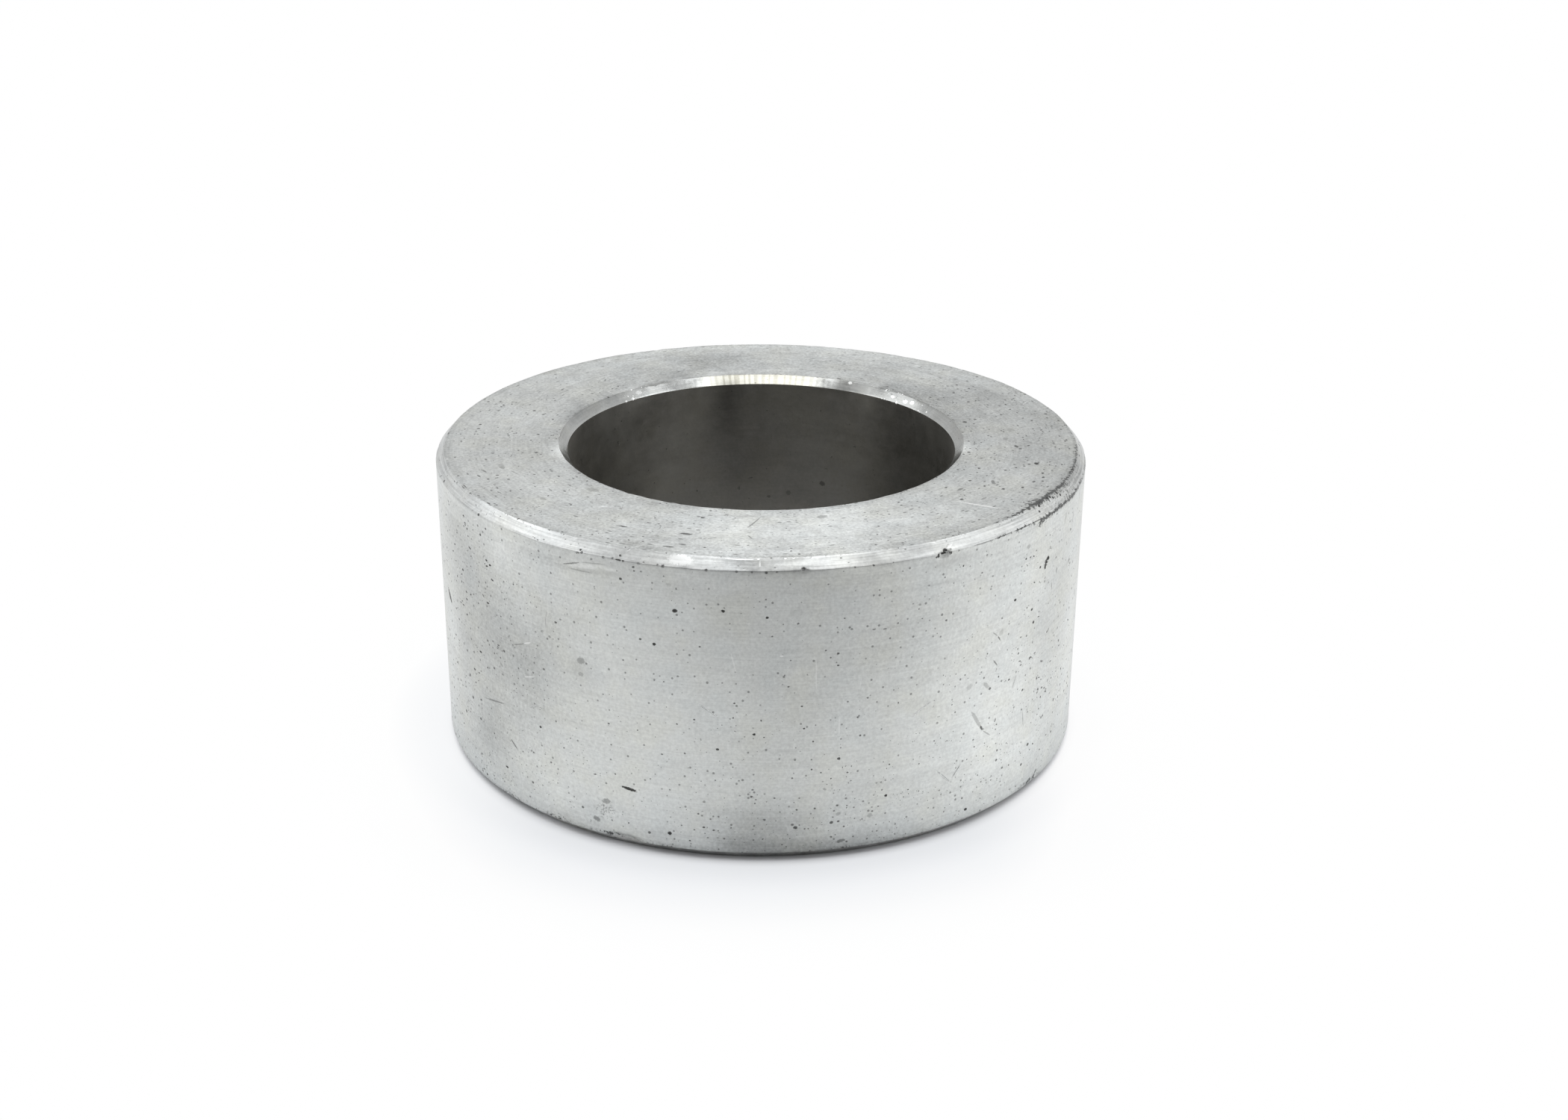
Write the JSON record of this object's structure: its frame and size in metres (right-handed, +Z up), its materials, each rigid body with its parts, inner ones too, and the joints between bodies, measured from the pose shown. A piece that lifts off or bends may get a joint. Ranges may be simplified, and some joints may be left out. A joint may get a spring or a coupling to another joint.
{
  "type": "spacer ring",
  "caption": "Thick-walled turned steel spacer: a short plain ring with chamfered rims that slides on a shaft or bolt and sets a gap between its two flat end faces.",
  "frame": {"origin": "centre of the lower end face, on the axis of the bore", "axes": "+Z up the axis of the bore; -Y towards the side with the dents that the picture shows, +X to its right"},
  "size_m": [0.05, 0.05, 0.023],
  "materials": {
    "turned_steel": "dull satin, with fine turning lines round it, cloudy patches, small dark pits, light scratches and grime at the rims"
  },
  "bodies": {
    "root": {"spacer": "turned_steel"}
  },
  "joints": []
}
